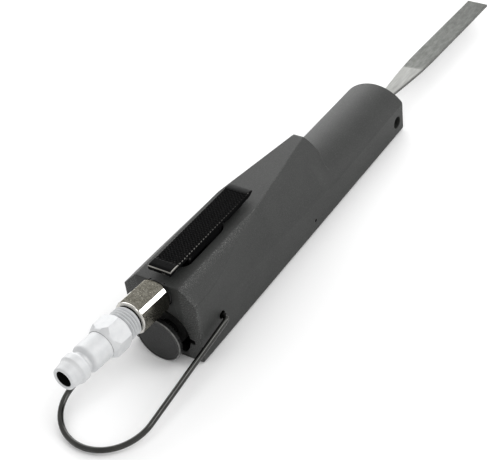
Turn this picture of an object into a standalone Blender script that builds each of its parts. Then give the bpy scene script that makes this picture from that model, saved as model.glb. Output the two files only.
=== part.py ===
"""Pneumatic file: hand-held reciprocating air file with a flush thumb lever,
a rear inlet with its coupler plug, a rear exhaust cap and a wire hanger.

Frame: +Y runs forward to the file's tip, +Z is up through the lever side, +X is
the tool's right. z = 0 is the flat underside. The origin is on the underside,
midway along the housing. Every length below is in millimetres, with y counted
from the housing's rear face; to_world() turns it into metres in the world.
"""
import math

import bmesh
import bpy
from mathutils import Matrix, Vector

MM = 0.001
Y_ORIGIN = 90.0          # y of the world origin, counted from the rear face

# housing, outer form
HOUSING_LENGTH = 179.0
HALF_WIDTH_REAR = 17.4
HALF_WIDTH_NOSE = 14.7
TOP_Z = 37.0
TOP_HALF_REAR = 10.7     # half width of the flat top at the rear face
TOP_HALF_MID = 10.1      # the same where the chamfer has died out
TOP_HALF_STEP = 2.4      # the same at the step down to the nose
CHAMFER_DROP = 6.8       # height of the 45 degree chamfer at the rear face
CHAMFER_START = 8.0      # the chamfer is full width up to here
CHAMFER_END = 59.2       # and has died out here
STEP_Y = 109.0           # end of the raised rear part, at its top
STEP_EDGE = ((37.0, 109.0), (35.0, 110.1), (33.0, 110.9), (30.5, 111.6), (28.0, 112.3), (0.0, 112.3))
STEP_FOOT_Y = 113.6      # foot of the step, on the nose
NOSE_RADIUS = 19.2       # arched top of the nose
NOSE_ARC_Z = 3.0         # height of the arch's centre
NOSE_CHAMFER = 0.5
BOTTOM_ROUND = 2.0

# line of the cylinder, piston and file
AXIS_Z = 9.3
BORE_R = 7.6
BORE_REAR_Y = 62.0
FIT_R = 7.3              # outer radius of the pieces in the bore
LINER_BORE_R = 5.4
STROKE = 9.6
CLAMP_Y = 172.5
CLAMP_Z = 8.2
ACCESS_Z = 7.5           # height of the nose's side holes, through which the clamp screws are reached
ACCESS_R = 3.0
FILE_YAW = 1.9           # degrees the clamped file points to the right
FILE_Z = 9.5
FILE_WIDTH = 11.4
FILE_THICK = 1.4
FILE_TIP_Y = 289.4

# inlet
INLET_Z = 31.6
INLET_PITCH = 2.5        # degrees the inlet rises to the rear
INLET_YAW = 2.0          # degrees it leans to the left
PLUG_BORE_R = 3.4

# throttle
VALVE_Y = 26.0
CHAMBER_R = 5.5
SLOT_HALF = 6.0
SLOT_REAR_Y = 11.6
SLOT_FRONT_Y = 41.6
SLOT_FLOOR_Z = 33.0
LEVER_HALF = 5.5
LEVER_TOP_Z = 41.8
PIN_Y = 50.0
PIN_Z = 33.4

# exhaust
EXHAUST_Z = 10.75
RECESS_R = 11.7
RECESS_DEPTH = 9.0
CAP_R = 10.7

# hanger
HANGER_Y = 16.0
HANGER_Z = 13.2
WIRE_R = 1.2
HANGER_HALF = 20.0
HANGER_LEG = 55.8
HANGER_TILT = 9.0        # degrees below level, so the loop just clears the floor

GAP = 0.3


# ---------------------------------------------------------------- set-up
for old in list(bpy.data.objects):
    bpy.data.objects.remove(old, do_unlink=True)

scene_root = bpy.context.scene.collection
part_collection = bpy.data.collections.new("pneumatic_file")
cutter_collection = bpy.data.collections.new("cutters")
scene_root.children.link(part_collection)
scene_root.children.link(cutter_collection)


def to_world(x, y, z):
    return Vector((x * MM, (y - Y_ORIGIN) * MM, z * MM))


def material(name, color, roughness, metallic):
    mat = bpy.data.materials.new(name)
    mat.use_nodes = True
    shader = mat.node_tree.nodes["Principled BSDF"]
    shader.inputs["Base Color"].default_value = (*color, 1.0)
    shader.inputs["Roughness"].default_value = roughness
    shader.inputs["Metallic"].default_value = metallic
    mat.diffuse_color = (*color, 1.0)
    return mat


BLACK_COAT = material("black_textured_coating", (0.060, 0.062, 0.060), 0.62, 0.0)
BLACK_GLOSS = material("black_oxide_gloss", (0.012, 0.012, 0.013), 0.28, 0.9)
BLACK_CAP = material("smooth_black_cap", (0.030, 0.031, 0.033), 0.30, 0.0)
SILVER = material("satin_silver", (0.78, 0.79, 0.80), 0.30, 1.0)
CHROME = material("chrome", (0.62, 0.62, 0.60), 0.08, 1.0)
STEEL = material("ground_steel", (0.55, 0.56, 0.57), 0.25, 1.0)
TOOL_STEEL = material("file_steel", (0.36, 0.37, 0.37), 0.42, 1.0)
WIRE = material("dark_spring_wire", (0.10, 0.10, 0.10), 0.35, 1.0)
RUBBER = material("black_rubber", (0.02, 0.02, 0.02), 0.8, 0.0)
BRONZE = material("bronze", (0.55, 0.38, 0.20), 0.35, 1.0)
FELT = material("grey_felt", (0.22, 0.22, 0.21), 0.95, 0.0)
ALLOY = material("cast_alloy", (0.60, 0.61, 0.62), 0.4, 1.0)


def add_object(name, mesh, collection, mat=None):
    obj = bpy.data.objects.new(name, mesh)
    collection.objects.link(obj)
    if mat is not None:
        mesh.materials.clear()
        mesh.materials.append(mat)
    return obj


def as_cutter(obj):
    for col in list(obj.users_collection):
        col.objects.unlink(obj)
    cutter_collection.objects.link(obj)
    obj.hide_render = True
    obj.display_type = 'WIRE'
    return obj


def smooth(obj, angle=35.0):
    obj.data.shade_smooth()
    obj.data.set_sharp_from_angle(angle=math.radians(angle))


def axis_matrix(origin, direction):
    """Frame at origin whose +Z runs along direction."""
    turn = Vector((0.0, 0.0, 1.0)).rotation_difference(Vector(direction).normalized())
    return Matrix.Translation(origin) @ turn.to_matrix().to_4x4()


def inlet_frame():
    """Inlet axis: +Z runs rearwards and slightly up, +X stays to the right."""
    pitch, yaw = math.radians(INLET_PITCH), math.radians(INLET_YAW)
    along = Vector((-math.sin(yaw) * math.cos(pitch), -math.cos(yaw) * math.cos(pitch),
                    math.sin(pitch)))
    side = along.cross(Vector((0.0, 0.0, 1.0))).normalized()
    side = -side if side.x < 0 else side
    up = along.cross(side).normalized()
    return Matrix.Translation(to_world(0, 0, INLET_Z)) @ Matrix((side, up, along)).transposed().to_4x4()


INLET = inlet_frame()
FORWARD = (0.0, 1.0, 0.0)


def turned(name, profile, frame, mat, steps=32):
    """Profile of (radius, height) pairs, run down the outer side, turned about +Z."""
    bm = bmesh.new()
    verts = [bm.verts.new((r * MM, 0.0, h * MM)) for r, h in profile]
    for a, b in zip(verts, verts[1:]):
        bm.edges.new((a, b))
    if profile[0][0] > 0 and profile[-1][0] > 0:
        bm.edges.new((verts[-1], verts[0]))
    mesh = bpy.data.meshes.new(name)
    bm.to_mesh(mesh)
    bm.free()
    obj = add_object(name, mesh, part_collection, mat)
    screw = obj.modifiers.new("turn", 'SCREW')
    screw.angle = math.radians(360)
    screw.steps = steps
    screw.render_steps = steps
    screw.use_merge_vertices = True
    screw.merge_threshold = 0.00001
    screw.use_smooth_shade = False
    obj.matrix_world = frame
    return obj


def tube(outer, inner, low, high):
    """Closed profile of a plain sleeve."""
    return [(inner, high), (outer, high), (outer, low), (inner, low)]


def rod(radius, low, high, chamfer=0.0):
    if chamfer <= 0:
        return [(0, high), (radius, high), (radius, low), (0, low)]
    return [(0, high), (radius - chamfer, high), (radius, high - chamfer),
            (radius, low + chamfer), (radius - chamfer, low), (0, low)]


def bored(name, radius, start, end, segments=24):
    """Plain round cutter between two points given in millimetres."""
    a, b = to_world(*start), to_world(*end)
    bpy.ops.mesh.primitive_cylinder_add(vertices=segments, radius=radius * MM,
                                        depth=(b - a).length)
    obj = bpy.context.active_object
    obj.name = name
    obj.matrix_world = axis_matrix((a + b) / 2, b - a)
    return as_cutter(obj)


def block(name, low, high):
    """Box cutter between two corners given in millimetres."""
    a, b = to_world(*low), to_world(*high)
    bpy.ops.mesh.primitive_cube_add(size=1.0)
    obj = bpy.context.active_object
    obj.name = name
    obj.data.transform(Matrix.Diagonal((b.x - a.x, b.y - a.y, b.z - a.z, 1.0)))
    obj.matrix_world = Matrix.Translation((a + b) / 2)
    return as_cutter(obj)


def outline_mesh(name, points, thickness):
    """Flat closed outline in XY, extruded symmetrically by thickness (mm)."""
    curve = bpy.data.curves.new(name, 'CURVE')
    curve.dimensions = '2D'
    curve.fill_mode = 'BOTH'
    curve.extrude = thickness * MM / 2
    spline = curve.splines.new('POLY')
    spline.points.add(len(points) - 1)
    for point, (u, v) in zip(spline.points, points):
        point.co = (u * MM, v * MM, 0.0, 1.0)
    spline.use_cyclic_u = True
    obj = bpy.data.objects.new(name + "_outline", curve)
    scene_root.objects.link(obj)
    bpy.context.view_layer.update()
    evaluated = obj.evaluated_get(bpy.context.evaluated_depsgraph_get())
    mesh = bpy.data.meshes.new_from_object(evaluated)
    bpy.data.objects.remove(obj, do_unlink=True)
    bm = bmesh.new()
    bm.from_mesh(mesh)
    bmesh.ops.remove_doubles(bm, verts=bm.verts, dist=0.000001)
    bmesh.ops.recalc_face_normals(bm, faces=bm.faces)
    bm.to_mesh(mesh)
    bm.free()
    mesh.name = name
    return mesh


def boolean(obj, cutters, operation='DIFFERENCE'):
    for cutter in cutters if isinstance(cutters, (list, tuple)) else [cutters]:
        mod = obj.modifiers.new(cutter.name, 'BOOLEAN')
        mod.operation = operation
        mod.solver = 'EXACT'
        mod.object = cutter
    return obj


def arc(centre, radius, start, end, count):
    """Points on an arc, angles in degrees."""
    return [(centre[0] + radius * math.cos(math.radians(start + (end - start) * i / count)),
             centre[1] + radius * math.sin(math.radians(start + (end - start) * i / count)))
            for i in range(count + 1)]


def wire(name, points, radius, mat, resolution=2):
    """Round wire through points given in world metres, with closed ends."""
    curve = bpy.data.curves.new(name, 'CURVE')
    curve.dimensions = '3D'
    curve.bevel_depth = radius * MM
    curve.bevel_resolution = resolution
    curve.use_fill_caps = True
    spline = curve.splines.new('POLY')
    spline.points.add(len(points) - 1)
    for point, co in zip(spline.points, points):
        point.co = (*co, 1.0)
    curve.materials.append(mat)
    obj = bpy.data.objects.new(name, curve)
    part_collection.objects.link(obj)
    return obj


def ring(name, major, minor, frame, mat, around=32, across=10):
    """O-ring with its axis along the frame's +Z."""
    bpy.ops.mesh.primitive_torus_add(major_radius=major * MM, minor_radius=minor * MM,
                                     major_segments=around, minor_segments=across)
    obj = bpy.context.active_object
    obj.name = name
    for col in list(obj.users_collection):
        col.objects.unlink(obj)
    part_collection.objects.link(obj)
    obj.data.materials.clear()
    obj.data.materials.append(mat)
    obj.matrix_world = frame
    smooth(obj, 60)
    return obj


# ---------------------------------------------------------------- housing
def half_width(y):
    return HALF_WIDTH_REAR + (HALF_WIDTH_NOSE - HALF_WIDTH_REAR) * y / HOUSING_LENGTH


def top_half(y):
    if y <= CHAMFER_END:
        return TOP_HALF_REAR + (TOP_HALF_MID - TOP_HALF_REAR) * y / CHAMFER_END
    t = (y - CHAMFER_END) / (STEP_Y - CHAMFER_END)
    return TOP_HALF_MID + (TOP_HALF_STEP - TOP_HALF_MID) * t


def chamfer_share(y):
    """1 where the chamfer is full width, falling smoothly to a thin edge break."""
    t = min(max((y - CHAMFER_START) / (CHAMFER_END - CHAMFER_START), 0.0), 1.0)
    return 0.05 + 0.95 * (1.0 - (3 * t * t - 2 * t ** 3))


def side_crease(y):
    """Height where the upright side ends and the leaning facet begins."""
    t = min(max((y - 50.0) / (STEP_Y - 50.0), 0.0), 1.0)
    return 18.2 + (15.0 - 18.2) * t


def foot_points(y):
    w = half_width(y)
    r = BOTTOM_ROUND
    return [(w - r, 0.0), (w - 0.29 * r, 0.29 * r), (w, r)]


def step_edge_y(z):
    """y of the step's front edge at height z: its face leans forward towards the foot."""
    for (z0, y0), (z1, y1) in zip(STEP_EDGE, STEP_EDGE[1:]):
        if z >= z1:
            return y0 + (y1 - y0) * (z0 - z) / (z0 - z1)
    return STEP_EDGE[-1][1]


def raised_section(y):
    w, xt, f = half_width(y), top_half(y), chamfer_share(y)
    edge = (xt + (HALF_WIDTH_REAR - TOP_HALF_REAR) * f, TOP_Z - CHAMFER_DROP * f)
    foot = (w, side_crease(y))
    upper = [foot]
    for i in range(1, 7):
        t = i / 6
        upper.append((foot[0] + (edge[0] - foot[0]) * t, foot[1] + (edge[1] - foot[1]) * t))
    upper += [(xt, TOP_Z), (xt * 0.5, TOP_Z), (0.0, TOP_Z)]
    return foot_points(y) + upper


def nose_section(y, inset=0.0):
    w = half_width(y) - inset
    radius = NOSE_RADIUS - inset
    start = math.degrees(math.acos(w / radius))
    foot = [(x - inset, max(z, inset)) for x, z in foot_points(y)]
    foot[0] = (foot[0][0], inset)
    return foot + arc((0.0, NOSE_ARC_Z), radius, start, 90.0, 9)


def fading_section(y, share):
    """Raised section whose lower facet has run out into the nose by a share."""
    points = []
    for (x, z), (u, v) in zip(raised_section(y), nose_section(y)):
        t = share * min(max((28.0 - z) / 6.0, 0.0), 1.0)
        points.append((x + (u - x) * t, z + (v - z) * t))
    return points


def build_housing():
    stations = [([y] * 13, raised_section(y)) for y in
                (0, 4, 8, 12, 16, 20, 24, 28, 32, 36, 40, 44, 48, 52, 56, 59.2, 67, 80, 92, 100)]
    stations += [([y] * 13, fading_section(y, share)) for y, share in ((104.0, 0.15), (107.0, 0.4))]
    stations.append(([step_edge_y(z) for x, z in raised_section(STEP_Y)], fading_section(STEP_Y, 0.75)))
    stations += [([y] * 13, nose_section(y)) for y in (STEP_FOOT_Y, 130, 155, HOUSING_LENGTH - NOSE_CHAMFER)]
    stations.append(([HOUSING_LENGTH] * 13, nose_section(HOUSING_LENGTH, NOSE_CHAMFER)))
    bm = bmesh.new()
    rings = []
    for ys, half in stations:
        right = [(x, y, z) for y, (x, z) in zip(ys, half)]
        loop = right + [(-x, y, z) for x, y, z in reversed(right[:-1])]
        rings.append([bm.verts.new(to_world(x, y, z)) for x, y, z in loop])
    count = len(rings[0])
    for a, b in zip(rings, rings[1:]):
        for i in range(count):
            j = (i + 1) % count
            bm.faces.new((a[i], a[j], b[j], b[i]))
    bm.faces.new(rings[0])
    bm.faces.new(list(reversed(rings[-1])))
    bmesh.ops.recalc_face_normals(bm, faces=bm.faces)
    mesh = bpy.data.meshes.new("housing")
    bm.to_mesh(mesh)
    bm.free()
    return add_object("housing", mesh, part_collection, BLACK_COAT)


housing = build_housing()

# exhaust recess in the rear face, with a flat foot and two side notches
recess = arc((0.0, EXHAUST_Z), RECESS_R, -44.0, -9.5, 6)
recess += [(13.9, EXHAUST_Z - 2.1), (13.9, EXHAUST_Z + 0.1)]
recess += arc((0.0, EXHAUST_Z), RECESS_R, 1.5, 178.5, 26)
recess += [(-13.9, EXHAUST_Z + 0.1), (-13.9, EXHAUST_Z - 2.1)]
recess += arc((0.0, EXHAUST_Z), RECESS_R, 189.5, 224.0, 6)
recess_cut = add_object("recess_cut", outline_mesh("recess_cut", recess, RECESS_DEPTH + 1.0),
                        part_collection)
recess_cut.matrix_world = (Matrix.Translation(to_world(0, (RECESS_DEPTH - 1.0) / 2, 0))
                           @ Matrix.Rotation(math.radians(90), 4, 'X'))
as_cutter(recess_cut)

# lever slot in the flat top
slot = arc((SLOT_HALF - 4.5, SLOT_FRONT_Y - 4.5), 4.5, 0, 90, 5)
slot += arc((-SLOT_HALF + 4.5, SLOT_FRONT_Y - 4.5), 4.5, 90, 180, 5)
slot += arc((-SLOT_HALF + 4.5, SLOT_REAR_Y + 4.5), 4.5, 180, 270, 5)
slot += arc((SLOT_HALF - 4.5, SLOT_REAR_Y + 4.5), 4.5, 270, 360, 5)
slot_cut = add_object("slot_cut", outline_mesh("slot_cut", slot, 8.0), part_collection)
slot_cut.matrix_world = Matrix.Translation(to_world(0, 0, SLOT_FLOOR_Z + 4.0))
as_cutter(slot_cut)


def inlet_cut(name, radius, low, high):
    bpy.ops.mesh.primitive_cylinder_add(vertices=28, radius=radius * MM, depth=(high - low) * MM)
    obj = bpy.context.active_object
    obj.name = name
    obj.matrix_world = INLET @ Matrix.Translation((0, 0, (low + high) / 2 * MM))
    return as_cutter(obj)


boolean(housing, [
    recess_cut,
    slot_cut,
    block("knuckle_cut", (-4.3, 44.6, 28.6), (4.3, 55.4, 39.0)),
    bored("lever_pin_cut", 1.8, (-22.0, PIN_Y, PIN_Z), (8.0, PIN_Y, PIN_Z), 16),
    inlet_cut("inlet_cut", 4.8, -10.0, 2.0),
    bored("air_feed_cut", 2.1, (0, 8.4, 29.6), (0, VALVE_Y, 16.5), 16),
    bored("stem_cut", 3.2, (0, VALVE_Y, 20.0), (0, VALVE_Y, 36.0), 20),
    bored("chamber_cut", CHAMBER_R, (0, VALVE_Y, -2.0), (0, VALVE_Y, 25.0), 28),
    bored("air_outlet_cut", 1.6, (0, VALVE_Y, 26.8), (0, BORE_REAR_Y + 2.0, 12.2), 16),
    bored("main_bore_cut", BORE_R, (0, BORE_REAR_Y, AXIS_Z), (0, HOUSING_LENGTH + 3, AXIS_Z), 36),
    bored("clip_groove_cut", 8.1, (0, 152.2, AXIS_Z), (0, 153.8, AXIS_Z), 36),
    bored("exhaust_channel_right", 2.0, (8.9, 6.0, 10.0), (8.9, 114.0, 10.0), 14),
    bored("exhaust_channel_left", 2.0, (-8.9, 6.0, 10.0), (-8.9, 114.0, 10.0), 14),
    bored("cap_screw_cut", 3.3, (0, 7.0, EXHAUST_Z), (0, 17.0, EXHAUST_Z), 20),
    bored("access_hole_right", ACCESS_R, (6.0, CLAMP_Y, ACCESS_Z), (18.0, CLAMP_Y, ACCESS_Z), 20),
    bored("access_hole_left", ACCESS_R, (-6.0, CLAMP_Y, ACCESS_Z), (-18.0, CLAMP_Y, ACCESS_Z), 20),
    bored("locating_pin_cut", 0.75, (5.0, 91.8, 6.1), (18.0, 91.8, 6.1), 12),
    bored("hanger_hole_right", 1.8, (12.2, HANGER_Y, HANGER_Z), (20.0, HANGER_Y, HANGER_Z), 16),
    bored("hanger_hole_left", 1.8, (-12.2, HANGER_Y, HANGER_Z), (-20.0, HANGER_Y, HANGER_Z), 16),
])
smooth(housing, 25)

# ---------------------------------------------------------------- inlet
# bushing: square bar with cut corners and a turned shoulder towards the housing,
# a round collar at its rear end, and a spigot in the housing
BUSH_FLAT = 5.95         # half width across the wide flats
BUSH_HALF_FLAT = 4.6     # half width of one wide flat
BUSH_TURN = -3.5         # degrees the flats are turned about the inlet's axis
SEAT_R = 6.6
SEAT_DEPTH = 0.85
bush_outline = []
for k in range(4):
    turn = math.radians(90 * k)
    for u, v in ((BUSH_FLAT, -BUSH_HALF_FLAT), (BUSH_FLAT, BUSH_HALF_FLAT)):
        bush_outline.append((u * math.cos(turn) - v * math.sin(turn),
                             u * math.sin(turn) + v * math.cos(turn)))
bush_body = add_object("bushing_body", outline_mesh("bushing_body", bush_outline, 16.8),
                       part_collection)
bush_body.matrix_world = (INLET @ Matrix.Translation((0, 0, 8.7 * MM))
                          @ Matrix.Rotation(math.radians(BUSH_TURN), 4, 'Z'))
as_cutter(bush_body)
bush_turned = turned("bushing_shoulder", [
    (0, 17.3), (7.6, 17.3), (7.6, 2.2), (7.1, 1.45), (6.5, 0.9), (5.9, 0.6), (5.3, 0.42), (0, 0.42)],
    INLET, CHROME, 36)
as_cutter(bush_turned)
boolean(bush_body, bush_turned, 'INTERSECT')
inlet_bushing = turned("inlet_bushing", [
    (0, 17.9), (6.85, 17.9), (7.25, 17.55), (7.25, 17.05), (6.95, 16.8), (4.5, 16.8), (4.5, -9.4), (0, -9.4)],
    INLET, CHROME, 36)
boolean(inlet_bushing, bush_body, 'UNION')
boolean(inlet_bushing, [inlet_cut("bushing_thread", 4.9, 6.0, 19.0),
                        inlet_cut("bushing_bore", 3.0, -12.0, 8.0)])
smooth(inlet_bushing, 25)

inlet_seal = turned("inlet_seal", tube(6.2, 4.8, -0.65, 0.2), INLET, RUBBER, 36)
seal_seat = turned("seal_seat_cut", [(0, 2.0), (SEAT_R, 2.0), (SEAT_R, -SEAT_DEPTH),
                                     (0, -SEAT_DEPTH)], INLET, RUBBER, 40)
as_cutter(seal_seat)
boolean(housing, seal_seat)

inlet_screen = turned("inlet_screen", [(0, 4.0), (2.6, 4.0), (2.6, 1.6), (0, 1.6)],
                      INLET, BRONZE, 20)
screen_cuts = []
for k in range(6):
    bpy.ops.mesh.primitive_cylinder_add(vertices=8, radius=0.45 * MM, depth=6 * MM)
    hole = bpy.context.active_object
    hole.name = "screen_hole_%d" % k
    a = math.radians(60 * k)
    hole.matrix_world = INLET @ Matrix.Translation((1.5 * MM * math.cos(a), 1.5 * MM * math.sin(a),
                                                    2.8 * MM))
    screen_cuts.append(as_cutter(hole))
boolean(inlet_screen, screen_cuts)

# coupler plug: spigot in the bushing, threaded collar, hexagon, barrel, neck, nose
plug_profile = [
    (0, 56.5), (4.5, 56.5), (4.9, 56.1), (5.45, 52.0), (6.1, 50.9), (6.1, 48.0), (5.6, 47.2),
    (4.5, 46.6), (4.5, 45.5), (5.5, 44.9), (6.1, 43.9), (6.1, 34.6), (6.5, 33.4), (6.5, 25.0)]
for k in range(5):
    top = 24.9 - 1.32 * k
    plug_profile += [(5.8, top), (6.55, top - 0.4), (6.55, top - 0.7), (5.8, top - 1.16)]
plug_profile += [(5.7, 18.3), (4.6, 18.3), (4.6, 8.2), (0, 8.2)]
coupler_plug = turned("coupler_plug", plug_profile, INLET, SILVER, 32)
bpy.ops.mesh.primitive_cylinder_add(vertices=6, radius=14.0 / math.sqrt(3) * MM, depth=10.2 * MM)
plug_hex = bpy.context.active_object
plug_hex.name = "plug_hexagon"
plug_hex.matrix_world = (INLET @ Matrix.Translation((0, 0, 30.0 * MM))
                         @ Matrix.Rotation(math.radians(12), 4, 'Z'))
as_cutter(plug_hex)
plug_cone = turned("plug_hexagon_cone", [(0, 35.0), (6.2, 35.0), (7.2, 33.2), (8.2, 31.6), (8.2, 26.0),
                                         (7.0, 25.0), (0, 25.0)], INLET, SILVER, 32)
as_cutter(plug_cone)
boolean(plug_hex, plug_cone, 'INTERSECT')
boolean(coupler_plug, plug_hex, 'UNION')
boolean(coupler_plug, inlet_cut("plug_bore", PLUG_BORE_R, 4.0, 60.0))
smooth(coupler_plug, 25)

# ---------------------------------------------------------------- throttle
# lever: side outline in YZ, extruded across X, hollowed below so that it is a channel
lever_side = [(3.0, 39.4), (14.7, 39.4), (14.9, 38.0), (15.5, 36.4), (16.6, 35.0), (36.4, 35.0),
              (37.6, 36.4), (38.6, 37.8), (39.4, 38.6), (58.0, 38.6), (61.0, 39.0), (62.2, 40.2),
              (61.2, 41.0), (58.0, 41.3), (30.0, 41.7), (4.2, 41.9), (3.0, 41.5)]
throttle_lever = add_object("throttle_lever", outline_mesh("throttle_lever", lever_side,
                                                           2 * LEVER_HALF), part_collection,
                            BLACK_GLOSS)
lever_frame = Matrix(((0, 0, 1, 0), (1, 0, 0, -Y_ORIGIN * MM), (0, 1, 0, 0), (0, 0, 0, 1)))
throttle_lever.matrix_world = lever_frame
knuckle = arc((PIN_Y, PIN_Z), 3.6, 180, 360, 10) + [(53.6, 39.4), (46.4, 39.4)]
lever_knuckle = add_object("lever_knuckle", outline_mesh("lever_knuckle", knuckle, 7.8),
                           part_collection)
lever_knuckle.matrix_world = lever_frame
as_cutter(lever_knuckle)
boolean(throttle_lever, lever_knuckle, 'UNION')
boolean(throttle_lever, [block("lever_channel", (-4.1, 16.2, 33.0), (4.1, 37.6, 39.5)),
                         bored("lever_eye", 1.8, (-8, PIN_Y, PIN_Z), (8, PIN_Y, PIN_Z), 20)])
throttle_lever.data.materials.clear()
throttle_lever.data.materials.append(BLACK_GLOSS)

RIGHT = (1.0, 0.0, 0.0)
UP = (0.0, 0.0, 1.0)
pin_frame = axis_matrix(to_world(0, PIN_Y, PIN_Z), RIGHT)
lever_pin = turned("lever_pin", rod(1.5, -12.0, 7.6, 0.3), pin_frame, STEEL, 20)

stem_frame = axis_matrix(to_world(0, VALVE_Y, 0), UP)
stem_bushing = turned("stem_bushing", tube(2.9, 1.6, 28.4, 32.7), stem_frame, BRONZE, 24)
throttle_valve = turned("throttle_valve", [
    (0, 39.2), (1.0, 39.2), (1.3, 38.9), (1.3, 23.0), (4.8, 23.0), (4.8, 21.0), (2.4, 20.6),
    (2.4, 19.2), (0, 19.2)], stem_frame, STEEL, 24)
valve_seal = ring("valve_seal", 4.2, 0.6, axis_matrix(to_world(0, VALVE_Y, 23.95), UP), RUBBER, 28, 8)
valve_plug = turned("valve_plug", [
    (0, 8.0), (4.6, 8.0), (5.2, 7.5), (5.2, 6.6), (4.2, 6.6), (4.2, 5.0), (5.2, 5.0), (5.2, 0.9),
    (4.8, 0.5), (0, 0.5)], stem_frame, STEEL, 28)
bpy.ops.mesh.primitive_cylinder_add(vertices=6, radius=5.0 / math.sqrt(3) * MM, depth=6 * MM)
plug_socket = bpy.context.active_object
plug_socket.name = "valve_plug_socket"
plug_socket.matrix_world = axis_matrix(to_world(0, VALVE_Y, 1.5), UP)
as_cutter(plug_socket)
boolean(valve_plug, plug_socket)
plug_o_ring = ring("plug_o_ring", 4.85, 0.38, axis_matrix(to_world(0, VALVE_Y, 5.8), UP), RUBBER, 28, 8)

SPRING_LOW, SPRING_HIGH, SPRING_R, SPRING_WIRE, SPRING_TURNS = 8.8, 20.1, 3.5, 0.45, 5.5
spring_points = []
for i in range(int(SPRING_TURNS * 14) + 1):
    t = i / (SPRING_TURNS * 14)
    a = 2 * math.pi * SPRING_TURNS * t
    spring_points.append(to_world(SPRING_R * math.cos(a), VALVE_Y + SPRING_R * math.sin(a),
                                  SPRING_LOW + (SPRING_HIGH - SPRING_LOW) * t))
valve_spring = wire("valve_spring", spring_points, SPRING_WIRE, STEEL, 1)

# ---------------------------------------------------------------- exhaust
cap_frame = axis_matrix(to_world(0, 0, EXHAUST_Z), (0.0, -1.0, 0.0))
exhaust_cap = turned("exhaust_cap", [
    (0, 5.9), (9.9, 5.9), (10.5, 5.7), (CAP_R, 5.3), (CAP_R, 3.6), (10.1, 3.3), (4.4, 3.3),
    (3.9, 2.6), (3.9, -8.6), (3.0, -9.2), (3.0, -16.2), (0, -16.2)], cap_frame, BLACK_CAP, 44)
smooth(exhaust_cap, 50)
exhaust_silencer = turned("exhaust_silencer", tube(8.0, 4.2, -8.7, -2.4), cap_frame, FELT, 32)

# ---------------------------------------------------------------- hanger
tilt = math.radians(HANGER_TILT)


def on_hanger(x, s):
    """Point of the hanger's plane: x across, s along its legs from the pivot."""
    return to_world(x, HANGER_Y - s * math.cos(tilt), HANGER_Z - s * math.sin(tilt))


half = [(12.8, 0.0), (15.0, 0.0), (17.2, 0.0)]
half += [(HANGER_HALF - 2.6 + 2.6 * math.sin(a), 2.6 - 2.6 * math.cos(a))
         for a in (math.radians(d) for d in (15, 35, 55, 75, 90))]
half += [(HANGER_HALF, s) for s in (14, 26, 38, 48)]
bend = [(HANGER_HALF * math.cos(a), HANGER_LEG + HANGER_HALF * math.sin(a))
        for a in (math.radians(10 * i) for i in range(0, 19))]
hanger_line = half + bend + [(-x, s) for x, s in reversed(half)]
hanger_bail = wire("hanger_bail", [on_hanger(x, s) for x, s in hanger_line], WIRE_R, WIRE, 2)

# ---------------------------------------------------------------- cylinder and valve box
bore_frame = axis_matrix(to_world(0, 0, AXIS_Z), FORWARD)


def in_bore(name, profile, mat, steps=32):
    return turned(name, profile, bore_frame, mat, steps)


cylinder_head = in_bore("cylinder_head", tube(FIT_R, 1.6, 62.3, 68.6), ALLOY, 32)
valve_box = in_bore("valve_box", [
    (1.4, 75.0), (1.4, 72.8), (4.3, 72.8), (4.3, 75.0), (FIT_R, 75.0), (FIT_R, 68.9), (1.4, 68.9)],
    STEEL, 32)
valve_disc = in_bore("valve_disc", rod(3.9, 73.5, 74.4), STEEL, 28)
valve_cover = in_bore("valve_cover", tube(FIT_R, 1.5, 75.3, 78.0), STEEL, 32)
cylinder_liner = in_bore("cylinder_liner", tube(FIT_R, LINER_BORE_R, 78.3, 139.0), STEEL, 36)
boolean(cylinder_liner, [
    bored("liner_port_side", 1.3, (-9.0, 108.0, AXIS_Z), (9.0, 108.0, AXIS_Z), 12),
    bored("liner_pin_seat", 0.8, (5.9, 91.8, 6.1), (12.0, 91.8, 6.1), 12)])
locating_pin = turned("locating_pin", rod(0.55, 6.4, 15.5, 0.15),
                      axis_matrix(to_world(0, 91.8, 6.1), RIGHT), STEEL, 12)
front_bushing = in_bore("front_bushing", [
    (3.15, 149.4), (5.4, 149.4), (5.4, 151.9), (FIT_R, 151.9), (FIT_R, 139.3), (3.15, 139.3)],
    BRONZE, 32)
rod_seal = in_bore("rod_seal", tube(5.1, 3.15, 149.7, 151.6), RUBBER, 28)
clip_points = []
for i in range(25):
    a = math.radians(-65 + 310 * i / 24)
    clip_points.append(to_world(6.95 * math.cos(a), 153.0, AXIS_Z + 6.95 * math.sin(a)))
retaining_ring = wire("retaining_ring", clip_points, 0.62, STEEL, 1)
front_wiper = in_bore("front_wiper", tube(FIT_R, 6.15, 175.6, 177.6), RUBBER, 32)

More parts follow.
